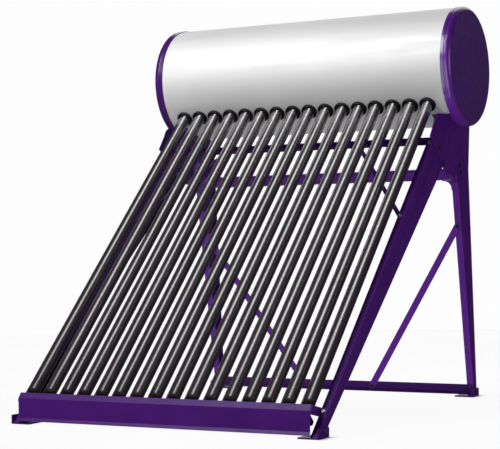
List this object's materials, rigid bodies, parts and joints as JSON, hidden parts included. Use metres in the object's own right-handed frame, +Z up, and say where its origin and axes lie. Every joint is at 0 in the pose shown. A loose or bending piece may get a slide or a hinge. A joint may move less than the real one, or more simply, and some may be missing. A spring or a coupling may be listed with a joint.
{
  "type": "solar water heater",
  "caption": "Solar water heater: white horizontal insulated tank over a bank of sloping evacuated glass tubes, on a purple channel-steel stand.",
  "frame": {"origin": "on the ground, at the centre of the heater's outline", "axes": "+X along the tank to the right seen from the front, +Y to the rear (tubes slope down towards -Y), +Z up"},
  "size_m": [1.364, 1.616, 1.604],
  "materials": {
    "white_coated_steel": "semi-gloss",
    "purple_powder_coat": "semi-gloss",
    "borosilicate_glass": "gloss",
    "stainless_steel": "satin",
    "zinc_plated_steel": "satin",
    "polyurethane_foam": "matte",
    "silicone": "matte",
    "black_rubber": "matte",
    "black_plastic": "matte"
  },
  "bodies": {
    "stand_and_tank": {"tank_shell": "white_coated_steel", "tank_insulation": "polyurethane_foam", "inner_tank": "stainless_steel", "end_cap_left": "purple_powder_coat", "end_cap_right": "purple_powder_coat", "cold_inlet_nipple": "stainless_steel", "hot_outlet_nipple": "stainless_steel", "vent_nipple": "stainless_steel", "vent_cap": "black_plastic", "tube_seals": "silicone", "dust_rings": "black_rubber", "tail_rail": "purple_powder_coat", "tail_cup_strip": "purple_powder_coat", "tail_cups": "black_plastic", "stand_bolts": "zinc_plated_steel", "saddle_studs": "zinc_plated_steel", "crossbar_upper_front": "purple_powder_coat", "crossbar_upper_rear": "purple_powder_coat", "crossbar_lower_rear": "purple_powder_coat", "rail_arm_left": "purple_powder_coat", "front_leg_left": "purple_powder_coat", "rear_leg_left": "purple_powder_coat", "tank_bracket_left": "purple_powder_coat", "rear_brace_left": "purple_powder_coat", "knee_brace_left": "purple_powder_coat", "corner_gusset_left": "purple_powder_coat", "front_foot_left": "purple_powder_coat", "rear_foot_left": "purple_powder_coat", "rail_arm_right": "purple_powder_coat", "front_leg_right": "purple_powder_coat", "rear_leg_right": "purple_powder_coat", "tank_bracket_right": "purple_powder_coat", "rear_brace_right": "purple_powder_coat", "knee_brace_right": "purple_powder_coat", "corner_gusset_right": "purple_powder_coat", "front_foot_right": "purple_powder_coat", "rear_foot_right": "purple_powder_coat"},
    "evacuated_tube_01": {"evacuated_tube_01": "borosilicate_glass"},
    "evacuated_tube_02": {"evacuated_tube_02": "borosilicate_glass"},
    "evacuated_tube_03": {"evacuated_tube_03": "borosilicate_glass"},
    "evacuated_tube_04": {"evacuated_tube_04": "borosilicate_glass"},
    "evacuated_tube_05": {"evacuated_tube_05": "borosilicate_glass"},
    "evacuated_tube_06": {"evacuated_tube_06": "borosilicate_glass"},
    "evacuated_tube_07": {"evacuated_tube_07": "borosilicate_glass"},
    "evacuated_tube_08": {"evacuated_tube_08": "borosilicate_glass"},
    "evacuated_tube_09": {"evacuated_tube_09": "borosilicate_glass"},
    "evacuated_tube_10": {"evacuated_tube_10": "borosilicate_glass"},
    "evacuated_tube_11": {"evacuated_tube_11": "borosilicate_glass"},
    "evacuated_tube_12": {"evacuated_tube_12": "borosilicate_glass"},
    "evacuated_tube_13": {"evacuated_tube_13": "borosilicate_glass"},
    "evacuated_tube_14": {"evacuated_tube_14": "borosilicate_glass"},
    "evacuated_tube_15": {"evacuated_tube_15": "borosilicate_glass"},
    "evacuated_tube_16": {"evacuated_tube_16": "borosilicate_glass"}
  },
  "joints": [
    {"name": "evacuated_tube_01_slide", "type": "slide", "parent": "stand_and_tank", "child": "evacuated_tube_01", "axis": [0, 0.7218, 0.6921], "range_m": [0, 0.05]},
    {"name": "evacuated_tube_02_slide", "type": "slide", "parent": "stand_and_tank", "child": "evacuated_tube_02", "axis": [0, 0.7218, 0.6921], "range_m": [0, 0.05]},
    {"name": "evacuated_tube_03_slide", "type": "slide", "parent": "stand_and_tank", "child": "evacuated_tube_03", "axis": [0, 0.7218, 0.6921], "range_m": [0, 0.05]},
    {"name": "evacuated_tube_04_slide", "type": "slide", "parent": "stand_and_tank", "child": "evacuated_tube_04", "axis": [0, 0.7218, 0.6921], "range_m": [0, 0.05]},
    {"name": "evacuated_tube_05_slide", "type": "slide", "parent": "stand_and_tank", "child": "evacuated_tube_05", "axis": [0, 0.7218, 0.6921], "range_m": [0, 0.05]},
    {"name": "evacuated_tube_06_slide", "type": "slide", "parent": "stand_and_tank", "child": "evacuated_tube_06", "axis": [0, 0.7218, 0.6921], "range_m": [0, 0.05]},
    {"name": "evacuated_tube_07_slide", "type": "slide", "parent": "stand_and_tank", "child": "evacuated_tube_07", "axis": [0, 0.7218, 0.6921], "range_m": [0, 0.05]},
    {"name": "evacuated_tube_08_slide", "type": "slide", "parent": "stand_and_tank", "child": "evacuated_tube_08", "axis": [0, 0.7218, 0.6921], "range_m": [0, 0.05]},
    {"name": "evacuated_tube_09_slide", "type": "slide", "parent": "stand_and_tank", "child": "evacuated_tube_09", "axis": [0, 0.7218, 0.6921], "range_m": [0, 0.05]},
    {"name": "evacuated_tube_10_slide", "type": "slide", "parent": "stand_and_tank", "child": "evacuated_tube_10", "axis": [0, 0.7218, 0.6921], "range_m": [0, 0.05]},
    {"name": "evacuated_tube_11_slide", "type": "slide", "parent": "stand_and_tank", "child": "evacuated_tube_11", "axis": [0, 0.7218, 0.6921], "range_m": [0, 0.05]},
    {"name": "evacuated_tube_12_slide", "type": "slide", "parent": "stand_and_tank", "child": "evacuated_tube_12", "axis": [0, 0.7218, 0.6921], "range_m": [0, 0.05]},
    {"name": "evacuated_tube_13_slide", "type": "slide", "parent": "stand_and_tank", "child": "evacuated_tube_13", "axis": [0, 0.7218, 0.6921], "range_m": [0, 0.05]},
    {"name": "evacuated_tube_14_slide", "type": "slide", "parent": "stand_and_tank", "child": "evacuated_tube_14", "axis": [0, 0.7218, 0.6921], "range_m": [0, 0.05]},
    {"name": "evacuated_tube_15_slide", "type": "slide", "parent": "stand_and_tank", "child": "evacuated_tube_15", "axis": [0, 0.7218, 0.6921], "range_m": [0, 0.05]},
    {"name": "evacuated_tube_16_slide", "type": "slide", "parent": "stand_and_tank", "child": "evacuated_tube_16", "axis": [0, 0.7218, 0.6921], "range_m": [0, 0.05]}
  ]
}
